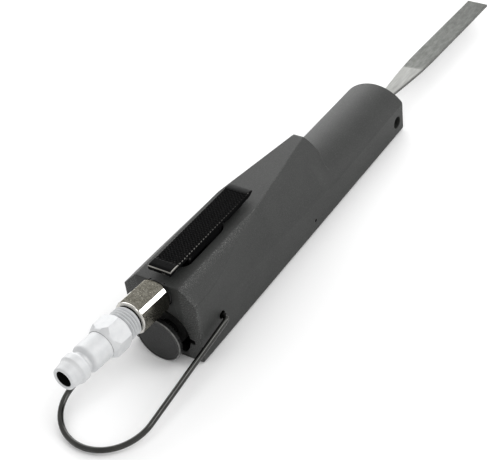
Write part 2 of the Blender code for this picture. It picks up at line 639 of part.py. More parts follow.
# ---------------------------------------------------------------- piston, chuck and file
piston = in_bore("piston", [
    (0, 105.0), (1.9, 105.0), (1.9, 112.0), (4.7, 112.0), (5.1, 111.6), (5.1, 98.6), (4.1, 98.6),
    (4.1, 97.0), (5.1, 97.0), (5.1, 94.4), (4.7, 94.0), (0, 94.0)], STEEL, 28)
piston_ring = ring("piston_ring", 4.72, 0.36, axis_matrix(to_world(0, 97.8, AXIS_Z), FORWARD),
                   RUBBER, 28, 8)
piston_rod = in_bore("piston_rod", [
    (0, 163.0), (2.4, 163.0), (2.8, 162.6), (2.8, 112.3), (1.6, 112.3), (1.6, 105.3), (0, 105.3)],
    STEEL, 24)
file_chuck = in_bore("file_chuck", [
    (0, 184.0), (5.0, 184.0), (5.8, 183.2), (5.8, 157.6), (5.4, 157.2), (3.1, 157.2), (3.1, 163.4),
    (0, 163.4)], STEEL, 32)
boolean(file_chuck, [
    block("chuck_slot", (-3.9, 167.6, FILE_Z - 1.0), (3.9, 186.0, FILE_Z + 1.0)),
    bored("clamp_thread", 1.9, (-8.0, CLAMP_Y, CLAMP_Z), (8.0, CLAMP_Y, CLAMP_Z), 16)])


def set_screw(name, side):
    low, high = (3.25, 5.35) if side > 0 else (-5.35, -3.65)
    screw = turned(name, rod(1.6, low, high, 0.25), axis_matrix(to_world(0, CLAMP_Y, CLAMP_Z), RIGHT),
                   BLACK_GLOSS, 20)
    bpy.ops.mesh.primitive_cylinder_add(vertices=6, radius=0.85 * MM, depth=2.0 * MM)
    socket = bpy.context.active_object
    socket.name = name + "_socket"
    outer = high if side > 0 else low
    socket.matrix_world = axis_matrix(to_world(outer - side * 0.1, CLAMP_Y, CLAMP_Z), RIGHT)
    as_cutter(socket)
    boolean(screw, socket)
    return screw


clamp_screw_right = set_screw("clamp_screw_right", 1)
clamp_screw_left = set_screw("clamp_screw_left", -1)

# file blank: narrow shank, convex shoulders, parallel blade; laid flat and turned by its yaw
def shoulder(t):
    return 3.0 + (FILE_WIDTH / 2 - 3.0) * math.sin(math.radians(90 * t)) ** 1.09


edge = [(3.0, -10.6), (3.0, 12.0)]
edge += [(shoulder(i / 8), 12.0 + 38.0 * i / 8) for i in range(1, 9)]
edge += [(FILE_WIDTH / 2, FILE_TIP_Y - 179.0 - 0.6), (FILE_WIDTH / 2 - 0.5, FILE_TIP_Y - 179.0)]
blank = edge + [(-x, y) for x, y in reversed(edge)]
file = add_object("file", outline_mesh("file", blank, FILE_THICK), part_collection, TOOL_STEEL)
file.matrix_world = (Matrix.Translation(to_world(0, 179.0, FILE_Z))
                     @ Matrix.Rotation(math.radians(-FILE_YAW), 4, 'Z'))


# ---------------------------------------------------------------- joints' frames
def on_axis(name, position, members):
    empty = bpy.data.objects.new(name, None)
    part_collection.objects.link(empty)
    empty.location = position
    bpy.context.view_layer.update()
    for member in members:
        member.parent = empty
        member.matrix_parent_inverse = empty.matrix_world.inverted()
    return empty


on_axis("lever_axis", to_world(0, PIN_Y, PIN_Z), [throttle_lever])
on_axis("throttle_axis", to_world(0, VALVE_Y, 23.0), [throttle_valve, valve_seal])
on_axis("stroke_axis", to_world(0, 97.0, AXIS_Z),
        [piston, piston_ring, piston_rod, file_chuck, clamp_screw_right, clamp_screw_left, file])
on_axis("valve_disc_axis", to_world(0, 74.0, AXIS_Z), [valve_disc])
on_axis("hanger_axis", to_world(0, HANGER_Y, HANGER_Z), [hanger_bail])
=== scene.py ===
"""Looks of the pneumatic file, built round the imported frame.

Lengths in the helpers are millimetres with y counted from the housing's rear
face, as in the part; P() turns them into metres in the row frame.
"""
import math

import bmesh
import bpy
from mathutils import Matrix, Vector
from mathutils.bvhtree import BVHTree


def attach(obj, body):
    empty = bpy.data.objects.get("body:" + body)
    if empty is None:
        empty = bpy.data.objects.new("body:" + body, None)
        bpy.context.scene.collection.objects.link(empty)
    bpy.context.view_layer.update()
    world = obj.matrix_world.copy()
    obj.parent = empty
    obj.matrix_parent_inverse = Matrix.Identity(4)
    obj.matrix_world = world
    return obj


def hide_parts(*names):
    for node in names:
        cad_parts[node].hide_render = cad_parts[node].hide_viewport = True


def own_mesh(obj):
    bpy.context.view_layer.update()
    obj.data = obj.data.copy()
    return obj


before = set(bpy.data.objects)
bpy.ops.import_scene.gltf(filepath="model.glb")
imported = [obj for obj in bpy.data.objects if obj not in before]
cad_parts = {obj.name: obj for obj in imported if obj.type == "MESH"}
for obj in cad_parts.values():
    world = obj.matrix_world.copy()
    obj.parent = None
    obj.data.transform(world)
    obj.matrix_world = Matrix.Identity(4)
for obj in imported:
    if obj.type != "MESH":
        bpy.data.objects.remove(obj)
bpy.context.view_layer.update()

MM = 0.001
Y_ORIGIN = 90.0
ROOT = bpy.context.scene.collection


def P(x, y, z):
    return Vector((x * MM, (y - Y_ORIGIN) * MM, z * MM))


# ================================================================ materials
def new_material(name, color, roughness, metallic=0.0):
    mat = bpy.data.materials.new(name)
    mat.use_nodes = True
    tree = mat.node_tree
    shader = tree.nodes["Principled BSDF"]
    shader.inputs["Base Color"].default_value = (*color, 1.0)
    shader.inputs["Roughness"].default_value = roughness
    shader.inputs["Metallic"].default_value = metallic
    return mat, tree, shader


def coords(tree):
    return tree.nodes.new("ShaderNodeTexCoord").outputs["Object"]


def noise(tree, vector, scale, detail=4.0, rough=0.55, distortion=0.0):
    node = tree.nodes.new("ShaderNodeTexNoise")
    node.inputs["Scale"].default_value = scale
    node.inputs["Detail"].default_value = detail
    node.inputs["Roughness"].default_value = rough
    node.inputs["Distortion"].default_value = distortion
    tree.links.new(vector, node.inputs["Vector"])
    return node.outputs["Fac"]


def stretch(tree, vector, scale):
    node = tree.nodes.new("ShaderNodeMapping")
    node.inputs["Scale"].default_value = scale
    tree.links.new(vector, node.inputs["Vector"])
    return node.outputs["Vector"]


def ramp(tree, value, stops):
    node = tree.nodes.new("ShaderNodeValToRGB")
    elements = node.color_ramp.elements
    while len(elements) < len(stops):
        elements.new(0.5)
    for element, (pos, col) in zip(elements, stops):
        element.position = pos
        element.color = (*col, 1.0) if len(col) == 3 else (col[0], col[0], col[0], 1.0)
    tree.links.new(value, node.inputs["Fac"])
    return node.outputs["Color"]


def spread(tree, value, low, high, out_low, out_high):
    node = tree.nodes.new("ShaderNodeMapRange")
    node.inputs["From Min"].default_value = low
    node.inputs["From Max"].default_value = high
    node.inputs["To Min"].default_value = out_low
    node.inputs["To Max"].default_value = out_high
    tree.links.new(value, node.inputs["Value"])
    return node.outputs["Result"]


def mixed(tree, factor, a, b):
    node = tree.nodes.new("ShaderNodeMix")
    node.data_type = 'RGBA'
    tree.links.new(factor, node.inputs["Factor"])
    for socket, value in ((node.inputs[6], a), (node.inputs[7], b)):
        if isinstance(value, tuple):
            socket.default_value = (*value, 1.0)
        else:
            tree.links.new(value, socket)
    return node.outputs[2]


def math_node(tree, operation, a, b=None):
    node = tree.nodes.new("ShaderNodeMath")
    node.operation = operation
    for socket, value in ((node.inputs[0], a), (node.inputs[1], b)):
        if value is None:
            continue
        if isinstance(value, (int, float)):
            socket.default_value = value
        else:
            tree.links.new(value, socket)
    return node.outputs["Value"]


def bump(tree, shader, height, strength, distance, under=None):
    node = tree.nodes.new("ShaderNodeBump")
    node.inputs["Strength"].default_value = strength
    node.inputs["Distance"].default_value = distance
    tree.links.new(height, node.inputs["Height"])
    if under is not None:
        tree.links.new(under, node.inputs["Normal"])
    tree.links.new(node.outputs["Normal"], shader.inputs["Normal"])
    return node.outputs["Normal"]


def worn_edges(tree, vector, low, high, breakup):
    """Mask that is 1 on convex edges, broken up by noise."""
    point = tree.nodes.new("ShaderNodeNewGeometry").outputs["Pointiness"]
    edge = spread(tree, point, low, high, 0.0, 1.0)
    chips = spread(tree, noise(tree, vector, breakup, 3.0), 0.42, 0.62, 0.0, 1.0)
    return math_node(tree, 'MULTIPLY', edge, chips)


def split(tree, vector):
    node = tree.nodes.new("ShaderNodeSeparateXYZ")
    tree.links.new(vector, node.inputs["Vector"])
    return node.outputs["X"], node.outputs["Y"], node.outputs["Z"]


# fine-textured black coating of the housing; its grit shows most where the edges are rubbed
coat, t, s = new_material("black_textured_coating", (0.028, 0.029, 0.028), 0.6)
v = coords(t)
across, along_y, upward = split(t, v)
cloud = noise(t, v, 90.0, 3.0)
grit = noise(t, v, 2400.0, 3.0, 0.65)
base = ramp(t, cloud, [(0.3, (0.0138, 0.0148, 0.0138)), (0.7, (0.0186, 0.0198, 0.0184))])
outer = spread(t, math_node(t, 'ABSOLUTE', across), 0.0098, 0.0104, 0.0, 1.0)
near_crease = math_node(t, 'MULTIPLY', outer, spread(t, upward, 0.0342, 0.0366, 0.0, 1.0))
near_rear = math_node(t, 'MULTIPLY', outer, spread(t, along_y, -0.0870, -0.0898, 0.0, 1.0))
rubbed = math_node(t, 'MAXIMUM', near_crease, near_rear)
rubbed = math_node(t, 'MULTIPLY', rubbed, spread(t, along_y, -0.055, -0.030, 1.0, 0.0))
speck = ramp(t, grit, [(0.50, (0.0,)), (0.66, (1.0,))])
base = mixed(t, math_node(t, 'MULTIPLY', speck, 0.13), base, (0.14, 0.14, 0.135))
base = mixed(t, math_node(t, 'MULTIPLY', math_node(t, 'MULTIPLY', speck, rubbed), 0.42), base,
             (0.24, 0.24, 0.235))
lightened_edge = math_node(t, 'MULTIPLY', worn_edges(t, v, 0.54, 0.64, 900.0), spread(t, along_y, -0.030, 0.010, 0.34, 0.10))
lightened_edge = math_node(t, 'MULTIPLY', lightened_edge, spread(t, along_y, 0.080, 0.086, 1.0, 0.0))
base = mixed(t, lightened_edge, base, (0.16, 0.16, 0.155))
t.links.new(base, s.inputs["Base Color"])
t.links.new(spread(t, noise(t, v, 1400.0, 3.0), 0.3, 0.7, 0.53, 0.61), s.inputs["Roughness"])
s.inputs["Specular IOR Level"].default_value = 0.42
orange = noise(t, v, 1900.0, 2.0, 0.5)
height = math_node(t, 'ADD', math_node(t, 'MULTIPLY', grit, 0.8), math_node(t, 'MULTIPLY', orange, 0.6))
bump(t, s, height, 0.40, 0.00011)
COAT = coat

# painted shade: near-black colour for the inside of the housing's openings, where light doesn't reach
shade_in_cavity, t, s = new_material("painted_shade_cavity", (0.006, 0.006, 0.006), 0.8)
v = coords(t)
t.links.new(ramp(t, noise(t, v, 700.0, 4.0), [(0.3, (0.004, 0.004, 0.004)), (0.7, (0.009, 0.009, 0.009))]),
            s.inputs["Base Color"])
s.inputs["Specular IOR Level"].default_value = 0.08
bump(t, s, noise(t, v, 1500.0, 3.0), 0.2, 0.00006)
CAVITY_SHADE = shade_in_cavity

# black oxide of the lever, rubbed bright along its rear and side edges, with painted glints on the knurl near its
# rear end
oxide, t, s = new_material("black_oxide", (0.004, 0.004, 0.004), 0.22, 0.0)
v = coords(t)
across, along_y, upward = split(t, v)
side_edge = spread(t, math_node(t, 'ABSOLUTE', across), 0.00531, 0.00546, 0.0, 1.0)
rear_edge = spread(t, along_y, -0.08674, -0.08692, 0.0, 1.0)
upper = spread(t, upward, 0.04085, 0.04120, 0.0, 1.0)
teeth = math_node(t, 'SINE', math_node(t, 'MULTIPLY', along_y, 2 * math.pi / 0.00165))
chips = math_node(t, 'MAXIMUM', spread(t, teeth, 0.1, 0.6, 0.0, 0.8), spread(t, along_y, -0.0818, -0.0814, 1.0, 0.0))
rub_and_glint = math_node(t, 'MULTIPLY', math_node(t, 'MULTIPLY', math_node(t, 'MAXIMUM', side_edge, rear_edge), upper),
                chips)
# painted highlight: bright metal specks on the knurl peaks, only near the rear end
painted_glint = math_node(t, 'MULTIPLY', spread(t, noise(t, v, 520.0, 2.0), 0.60, 0.68, 0.0, 0.7),
                  spread(t, along_y, -0.0780, -0.0700, 1.0, 0.0))
painted_glint = math_node(t, 'MULTIPLY', painted_glint, worn_edges(t, v, 0.53, 0.60, 1400.0))
rub_and_glint = math_node(t, 'MAXIMUM', rub_and_glint, painted_glint)
t.links.new(mixed(t, math_node(t, 'MULTIPLY', rub_and_glint, 0.85), (0.0040, 0.0040, 0.0042), (0.42, 0.41, 0.38)),
            s.inputs["Base Color"])
t.links.new(spread(t, noise(t, v, 420.0, 4.0), 0.3, 0.7, 0.24, 0.38), s.inputs["Roughness"])
t.links.new(math_node(t, 'MULTIPLY', rub_and_glint, 0.8), s.inputs["Metallic"])
s.inputs["Specular IOR Level"].default_value = 0.02
bump(t, s, noise(t, v, 900.0, 3.0), 0.12, 0.00008)
OXIDE = oxide

# smooth black of the exhaust cap
cap, t, s = new_material("smooth_black_cap", (0.010, 0.010, 0.010), 0.24)
v = coords(t)
black = ramp(t, noise(t, v, 160.0, 4.0), [(0.3, (0.008, 0.0083, 0.0083)), (0.7, (0.013, 0.0135, 0.013))])
# lighter rim round the cap's front face: partly a rubbed edge, partly a painted highlight of the rim's bright edge
# line
across, along_y, upward = split(t, v)
drop = math_node(t, 'SUBTRACT', upward, 0.01075)
reach = math_node(t, 'ADD', math_node(t, 'MULTIPLY', across, across), math_node(t, 'MULTIPLY', drop, drop))
lightened_edge = math_node(t, 'MULTIPLY', spread(t, reach, 0.0001030, 0.0001085, 0.0, 1.0),
                 spread(t, along_y, -0.09530, -0.09550, 0.0, 1.0))
lightened_edge = math_node(t, 'MULTIPLY', lightened_edge, spread(t, noise(t, v, 420.0, 3.0), 0.3, 0.6, 0.35, 1.0))
t.links.new(mixed(t, lightened_edge, black, (0.17, 0.17, 0.165)), s.inputs["Base Color"])
scuff = noise(t, stretch(t, v, (1.0, 1.0, 6.0)), 500.0, 5.0)
t.links.new(spread(t, scuff, 0.3, 0.75, 0.16, 0.32), s.inputs["Roughness"])
s.inputs["Specular IOR Level"].default_value = 0.24
bump(t, s, noise(t, v, 700.0, 3.0), 0.06, 0.00006)
CAP = cap

# satin plated coupler plug, its hollows darkened as painted shade
plate, t, s = new_material("satin_plating", (0.60, 0.61, 0.62), 0.55, 0.25)
v = coords(t)
satin = ramp(t, noise(t, v, 300.0, 4.0), [(0.3, (0.56, 0.57, 0.58)), (0.7, (0.63, 0.635, 0.64))])
# painted shade: concave creases are darkened by pointiness
painted_crease_shade = spread(t, t.nodes.new("ShaderNodeNewGeometry").outputs["Pointiness"], 0.42, 0.49, 1.0, 0.0)
t.links.new(mixed(t, math_node(t, 'MULTIPLY', painted_crease_shade, 0.75), satin, (0.16, 0.16, 0.17)), s.inputs["Base Color"])
t.links.new(spread(t, noise(t, v, 1500.0, 4.0), 0.3, 0.7, 0.48, 0.60), s.inputs["Roughness"])
bump(t, s, noise(t, v, 2200.0, 3.0), 0.08, 0.00005)
PLATE = plate


# nickel of the inlet: pitted, duller flats as the bar was drawn; the turned corners and collar are lighter copies of
# the same nickel, their brightness partly the turned finish and partly painted reflection
def nickel_finish(name, low, high, pit_share, rough_low, rough_high):
    mat, tree, shader = new_material(name, high, rough_high, 1.0)
    vec = coords(tree)
    pits = noise(tree, vec, 1900.0, 3.0, 0.7)
    tone = ramp(tree, noise(tree, vec, 700.0, 5.0, 0.7), [(0.35, low), (0.65, high)])
    light = tuple(min(1.0, c * 2.2) for c in high)
    tree.links.new(mixed(tree, spread(tree, pits, 0.58, 0.68, 0.0, pit_share), tone, light),
                   shader.inputs["Base Color"])
    tree.links.new(spread(tree, noise(tree, vec, 1800.0, 4.0, 0.7), 0.35, 0.7, rough_low, rough_high),
                   shader.inputs["Roughness"])
    bump(tree, shader, pits, 0.30 if pit_share > 0.2 else 0.02, 0.00006)
    return mat


NICKEL = nickel_finish("pitted_nickel", (0.110, 0.103, 0.082), (0.220, 0.211, 0.180), 0.75, 0.11, 0.21)
LIT_NICKEL_RING = nickel_finish("turned_nickel_painted_reflection", (0.46, 0.45, 0.42), (0.58, 0.57, 0.54), 0.1, 0.14, 0.24)
LIT_NICKEL_CORNER = nickel_finish("nickel_corner_painted_reflection", (0.78, 0.77, 0.74), (0.86, 0.85, 0.82), 0.1, 0.08, 0.14)

# drawn dark wire of the hanger
wire_mat, t, s = new_material("dark_drawn_wire", (0.055, 0.055, 0.053), 0.20, 1.0)
v = coords(t)
t.links.new(ramp(t, noise(t, v, 160.0, 2.0), [(0.3, (0.046, 0.046, 0.044)), (0.7, (0.066, 0.066, 0.063))]),
            s.inputs["Base Color"])
t.links.new(spread(t, noise(t, v, 240.0, 2.0), 0.3, 0.7, 0.16, 0.22), s.inputs["Roughness"])
bump(t, s, noise(t, v, 500.0, 2.0), 0.03, 0.00003)
DARK_WIRE = wire_mat


def steel(name, low, high, rough_low, rough_high, along=(1.0, 1.0, 1.0), scale=700.0, depth=0.1):
    mat, tree, shader = new_material(name, high, rough_high, 1.0)
    vec = stretch(tree, coords(tree), along)
    tree.links.new(ramp(tree, noise(tree, vec, scale, 5.0, 0.6), [(0.3, low), (0.7, high)]),
                   shader.inputs["Base Color"])
    tree.links.new(spread(tree, noise(tree, vec, scale * 1.7, 4.0), 0.3, 0.7, rough_low, rough_high),
                   shader.inputs["Roughness"])
    bump(tree, shader, noise(tree, vec, scale * 1.3, 4.0), depth, 0.00006)
    return mat


FILE_SMOOTH = steel("file_shank_steel", (0.165, 0.167, 0.160), (0.220, 0.222, 0.212), 0.34, 0.48,
                    (1.0, 0.12, 1.0), 900.0)
FILE_SIDE = steel("file_side_steel", (0.085, 0.087, 0.083), (0.14, 0.143, 0.136), 0.34, 0.48,
                  (1.0, 0.12, 1.0), 900.0)
FILE_CUT = steel("file_cut_steel", (0.095, 0.098, 0.092), (0.165, 0.169, 0.159), 0.38, 0.56,
                 (1.0, 0.35, 1.0), 500.0, 0.2)
# painted shade: the cut part of the blade darkens towards the tip
tree = FILE_CUT.node_tree
shader = tree.nodes["Principled BSDF"]
cut_tone = shader.inputs["Base Color"].links[0].from_socket
painted_shade_to_tip = spread(tree, split(tree, coords(tree))[1], 0.125, 0.195, 0.0, 0.6)
tree.links.new(mixed(tree, painted_shade_to_tip, cut_tone, (0.062, 0.064, 0.060)), shader.inputs["Base Color"])
GROUND = steel("ground_steel", (0.46, 0.47, 0.48), (0.60, 0.61, 0.62), 0.18, 0.32, (1.0, 0.1, 1.0))
MACHINED = steel("machined_alloy", (0.56, 0.57, 0.58), (0.68, 0.69, 0.70), 0.28, 0.44)
SINTER = steel("sintered_bronze", (0.36, 0.24, 0.12), (0.56, 0.39, 0.21), 0.34, 0.52, (1.0, 1.0, 1.0),
               1400.0, 0.3)

rubber, t, s = new_material("black_rubber", (0.018, 0.018, 0.018), 0.75)
v = coords(t)
t.links.new(ramp(t, noise(t, v, 500.0, 4.0), [(0.3, (0.014, 0.014, 0.014)), (0.7, (0.026, 0.026, 0.026))]),
            s.inputs["Base Color"])
bump(t, s, noise(t, v, 1600.0, 3.0), 0.2, 0.00005)
RUBBER = rubber

felt, t, s = new_material("grey_felt", (0.2, 0.2, 0.19), 0.95)
v = coords(t)
t.links.new(ramp(t, noise(t, v, 1500.0, 6.0, 0.8), [(0.3, (0.012, 0.012, 0.012)), (0.7, (0.034, 0.034, 0.033))]),
            s.inputs["Base Color"])
s.inputs["Specular IOR Level"].default_value = 0.1
bump(t, s, noise(t, v, 2400.0, 5.0, 0.8), 0.5, 0.0003)
FELT = felt


# ================================================================ mesh helpers
def mesh_object(name, verts, faces, mat=None):
    mesh = bpy.data.meshes.new(name)
    mesh.from_pydata([tuple(p) for p in verts], [], faces)
    mesh.validate()
    bm = bmesh.new()
    bm.from_mesh(mesh)
    bmesh.ops.remove_doubles(bm, verts=bm.verts, dist=0.0000005)
    bmesh.ops.recalc_face_normals(bm, faces=bm.faces)
    bm.to_mesh(mesh)
    bm.free()
    obj = bpy.data.objects.new(name, mesh)
    ROOT.objects.link(obj)
    if mat is not None:
        mesh.materials.append(mat)
    return obj


def finish_mesh(obj, angle=35.0, weighted=True):
    obj.data.shade_smooth()
    obj.data.set_sharp_from_angle(angle=math.radians(angle))
    if weighted:
        mod = obj.modifiers.new("normals", 'WEIGHTED_NORMAL')
        mod.keep_sharp = True
        mod.weight = 60
    return obj


def bake(obj):
    """Replace the object's mesh by what its modifiers make of it."""
    bpy.context.view_layer.update()
    evaluated = obj.evaluated_get(bpy.context.evaluated_depsgraph_get())
    mesh = bpy.data.meshes.new_from_object(evaluated)
    obj.modifiers.clear()
    obj.data = mesh
    return obj


def carve(obj, cutters, operation='DIFFERENCE'):
    for cutter in cutters:
        mod = obj.modifiers.new(cutter.name, 'BOOLEAN')
        mod.operation = operation
        mod.solver = 'EXACT'
        mod.object = cutter
    bake(obj)
    for cutter in cutters:
        bpy.data.objects.remove(cutter, do_unlink=True)
    return obj


def axis_matrix(origin, direction):
    turn = Vector((0.0, 0.0, 1.0)).rotation_difference(Vector(direction).normalized())
    return Matrix.Translation(origin) @ turn.to_matrix().to_4x4()


def inlet_frame():
    pitch, yaw = math.radians(2.5), math.radians(2.0)
    along = Vector((-math.sin(yaw) * math.cos(pitch), -math.cos(yaw) * math.cos(pitch),
                    math.sin(pitch)))
    side = along.cross(Vector((0.0, 0.0, 1.0))).normalized()
    side = -side if side.x < 0 else side
    up = along.cross(side).normalized()
    return Matrix.Translation(P(0, 0, 31.6)) @ Matrix((side, up, along)).transposed().to_4x4()


INLET = inlet_frame()
FORWARD, RIGHT, UP = (0.0, 1.0, 0.0), (1.0, 0.0, 0.0), (0.0, 0.0, 1.0)


def lathe(name, profile, frame_matrix, mat=None, steps=96, closed=False):
    """Turn (radius, height) pairs about the frame's +Z. Ends on the axis are closed by a point."""
    verts, rings = [], []
    for r, h in profile:
        if r <= 1e-6:
            rings.append([len(verts)])
            verts.append(frame_matrix @ Vector((0, 0, h * MM)))
        else:
            ring_ids = []
            for k in range(steps):
                a = 2 * math.pi * k / steps
                ring_ids.append(len(verts))
                verts.append(frame_matrix @ Vector((r * MM * math.cos(a), r * MM * math.sin(a), h * MM)))
            rings.append(ring_ids)
    pairs = list(zip(rings, rings[1:]))
    if closed:
        pairs.append((rings[-1], rings[0]))
    faces = []
    for a, b in pairs:
        for k in range(steps):
            j = (k + 1) % steps
            if len(a) == 1 and len(b) == 1:
                continue
            if len(a) == 1:
                faces.append((a[0], b[k], b[j]))
            elif len(b) == 1:
                faces.append((a[k], b[0], a[j]))
            else:
                faces.append((a[k], b[k], b[j], a[j]))
    return mesh_object(name, verts, faces, mat)


def soften(points, radius, count=4, closed=False):
    """Round each corner of a polyline of 2D points by a small curve."""
    out = []
    total = len(points)
    for i, p in enumerate(points):
        if not closed and i in (0, total - 1):
            out.append(p)
            continue
        a, b = points[i - 1], points[(i + 1) % total]
        r = radius[i] if isinstance(radius, (list, tuple)) else radius
        da = math.hypot(a[0] - p[0], a[1] - p[1])
        db = math.hypot(b[0] - p[0], b[1] - p[1])
        cut = min(r, 0.45 * da, 0.45 * db)
        if cut < 1e-4:
            out.append(p)
            continue
        start = (p[0] + (a[0] - p[0]) * cut / da, p[1] + (a[1] - p[1]) * cut / da)
        end = (p[0] + (b[0] - p[0]) * cut / db, p[1] + (b[1] - p[1]) * cut / db)
        for k in range(count + 1):
            t_ = k / count
            out.append(tuple((1 - t_) ** 2 * start[n] + 2 * t_ * (1 - t_) * p[n] + t_ * t_ * end[n]
                             for n in (0, 1)))
    return out


def arc(centre, radius, start, end, count):
    return [(centre[0] + radius * math.cos(math.radians(start + (end - start) * i / count)),
             centre[1] + radius * math.sin(math.radians(start + (end - start) * i / count)))
            for i in range(count + 1)]


def offset_outline(points, distance):
    """Closed outline moved outward along its own normals."""
    area = sum(a[0] * b[1] - b[0] * a[1] for a, b in zip(points, points[1:] + points[:1]))
    sign = 1.0 if area > 0 else -1.0
    out = []
    total = len(points)
    for i, p in enumerate(points):
        a, b = points[i - 1], points[(i + 1) % total]
        tx, ty = b[0] - a[0], b[1] - a[1]
        length = math.hypot(tx, ty) or 1.0
        out.append((p[0] + sign * ty / length * distance, p[1] - sign * tx / length * distance))
    return out


def prism(name, layers, place, mat=None):
    """Loft between outlines of the same count. layers = [(outline, height)], place maps (u, v, h)."""
    verts = [place(u, v_, h) for outline, h in layers for u, v_ in outline]
    n = len(layers[0][0])
    faces = []
    for k in range(len(layers) - 1):
        for i in range(n):
            j = (i + 1) % n
            faces.append((k * n + i, k * n + j, (k + 1) * n + j, (k + 1) * n + i))
    faces.append(tuple(range(n)))
    faces.append(tuple(reversed(range((len(layers) - 1) * n, len(layers) * n))))
    return mesh_object(name, verts, faces, mat)


def cylinder(name, radius, start, end, steps=48, mouth=None):
    """Cutter between two points in mm. mouth = widening of the end's edge."""
    a, b = P(*start), P(*end)
    length = (b - a).length / MM
    profile = [(0, length), (radius, length), (radius, 0), (0, 0)]
    if mouth is not None:
        at, extra = mouth
        profile = [(0, length), (radius + extra + (length - at), length), (radius, at - extra),
                   (radius, 0), (0, 0)]
    return lathe(name, profile, axis_matrix(a, b - a), steps=steps)


def box_cutter(name, low, high):
    (x0, y0, z0), (x1, y1, z1) = low, high
    return prism(name, [([(x0, y0), (x1, y0), (x1, y1), (x0, y1)], z0),
                        ([(x0, y0), (x1, y0), (x1, y1), (x0, y1)], z1)],
                 lambda u, v_, h: P(u, v_, h))


# ================================================================ housing
TOP_Z = 37.0
STEP_EDGE = ((37.0, 109.0), (35.0, 110.1), (33.0, 110.9), (30.5, 111.6), (28.0, 112.3), (0.0, 112.3))
STEP_FOOT_Y = 113.6
NOSE_R, NOSE_Z = 19.2, 3.0
LENGTH = 179.0


def half_width(y):
    return 17.4 + (14.7 - 17.4) * y / LENGTH


def top_half(y):
    if y <= 59.2:
        return 10.7 + (10.1 - 10.7) * y / 59.2
    return 10.1 + (2.4 - 10.1) * (y - 59.2) / (109.0 - 59.2)


def chamfer_share(y):
    q = min(max((y - 8.0) / 51.2, 0.0), 1.0)
    return 0.04 + 0.96 * (1.0 - (3 * q * q - 2 * q ** 3))


def side_crease(y):
    q = min(max((y - 50.0) / 59.0, 0.0), 1.0)
    return 18.2 + (15.0 - 18.2) * q


def line_points(a, b, count):
    return [(a[0] + (b[0] - a[0]) * i / (count + 1), a[1] + (b[1] - a[1]) * i / (count + 1))
            for i in range(1, count + 1)]


def bend_points(a, corner, b, reach, count):
    da = math.hypot(a[0] - corner[0], a[1] - corner[1])
    db = math.hypot(b[0] - corner[0], b[1] - corner[1])
    cut = min(reach, 0.42 * da, 0.42 * db)
    start = (corner[0] + (a[0] - corner[0]) * cut / da, corner[1] + (a[1] - corner[1]) * cut / da)
    end = (corner[0] + (b[0] - corner[0]) * cut / db, corner[1] + (b[1] - corner[1]) * cut / db)
    return [tuple((1 - q) ** 2 * start[n] + 2 * q * (1 - q) * corner[n] + q * q * end[n] for n in (0, 1))
            for q in (k / (count - 1) for k in range(count))]


SEGMENTS = (4, 5, 16, 4, 5)
FIRST_ARC = 1 + SEGMENTS[0] + 5 + SEGMENTS[1] + 5     # index of the first point beyond the crease


def step_edge_y(z):
    """y of the step's front edge at height z."""
    for (z0, y0), (z1, y1) in zip(STEP_EDGE, STEP_EDGE[1:]):
        if z >= z1:
            return y0 + (y1 - y0) * (z0 - z) / (z0 - z1)
    return STEP_EDGE[-1][1]


def raised_half(y):
    w, xt, f = half_width(y), min(top_half(y), 20.0), chamfer_share(y)
    c = [(0.0, 0.0), (w, 0.0), (w, side_crease(y)), (xt + 6.7 * f, TOP_Z - 6.8 * f), (xt, TOP_Z), (0.0, TOP_Z)]
    reach = (0, 1.7, 1.2, 0.42, 0.42, 0)
    bends = [[c[0]]] + [bend_points(c[i - 1], c[i], c[i + 1], reach[i], 5) for i in range(1, 5)] + [[c[5]]]
    points = []
    for i in range(5):
        points += bends[i] + line_points(bends[i][-1], bends[i + 1][0], SEGMENTS[i])
    points += bends[5]
    return points


STEP_SECTION = raised_half(109.0)


def nose_half(y):
    w = half_width(y)
    crease = (w, NOSE_Z + math.sqrt(NOSE_R ** 2 - w ** 2))
    beyond_x = w - 0.55
    beyond = (beyond_x, NOSE_Z + math.sqrt(NOSE_R ** 2 - beyond_x ** 2))
    corner = bend_points((0.0, 0.0), (w, 0.0), crease, 1.7, 5)
    edge = [tuple((1 - q) ** 2 * a + 2 * q * (1 - q) * m + q * q * b
                  for a, m, b in zip((w, crease[1] - 0.9), crease, beyond))
            for q in (k / 4 for k in range(5))]
    points = [(0.0, 0.0)] + line_points((0.0, 0.0), corner[0], SEGMENTS[0]) + corner
    points += line_points(corner[-1], edge[0], SEGMENTS[1]) + edge
    scale = beyond_x / STEP_SECTION[FIRST_ARC - 1][0]
    for x, _ in STEP_SECTION[FIRST_ARC:]:
        x *= scale
        points.append((x, NOSE_Z + math.sqrt(NOSE_R ** 2 - x ** 2)))
    return points


def full_ring(half):
    return half + [(-x, z) for x, z in reversed(half[1:-1])]


def inset_ring(ring_points, distance):
    return offset_outline(ring_points, -distance) if distance > 0 else ring_points


def level(y, ring_points):
    return [(x, y, z) for x, z in ring_points]


def step_ring(before, after, share):
    """Ring across the step: `before` mm short of its edge, or a share `after` of the way to its
    foot. The lower facet has by then run out into the nose, so the edge fades downwards."""
    half = []
    for i, (x0, z0) in enumerate(STEP_SECTION):
        edge_y = step_edge_y(z0)
        if after > 1.0:
            y = STEP_FOOT_Y + after - 1.0
        else:
            y = edge_y - before + (STEP_FOOT_Y - edge_y) * after
        a, b = raised_half(min(y, 109.0))[i], nose_half(y)[i]
        total = 1.0 - (1.0 - run_out(y, z0)) * (1.0 - share)
        half.append((a[0] + (b[0] - a[0]) * total, y, a[1] + (b[1] - a[1]) * total))
    return half + [(-x, y, z) for x, y, z in reversed(half[1:-1])]


def run_out(y, z):
    q = min(max((y - 101.0) / 11.3, 0.0), 1.0)
    low = min(max((28.0 - z) / 5.0, 0.0), 1.0)
    return 0.88 * q * q * (3 - 2 * q) * low * low * (3 - 2 * low)


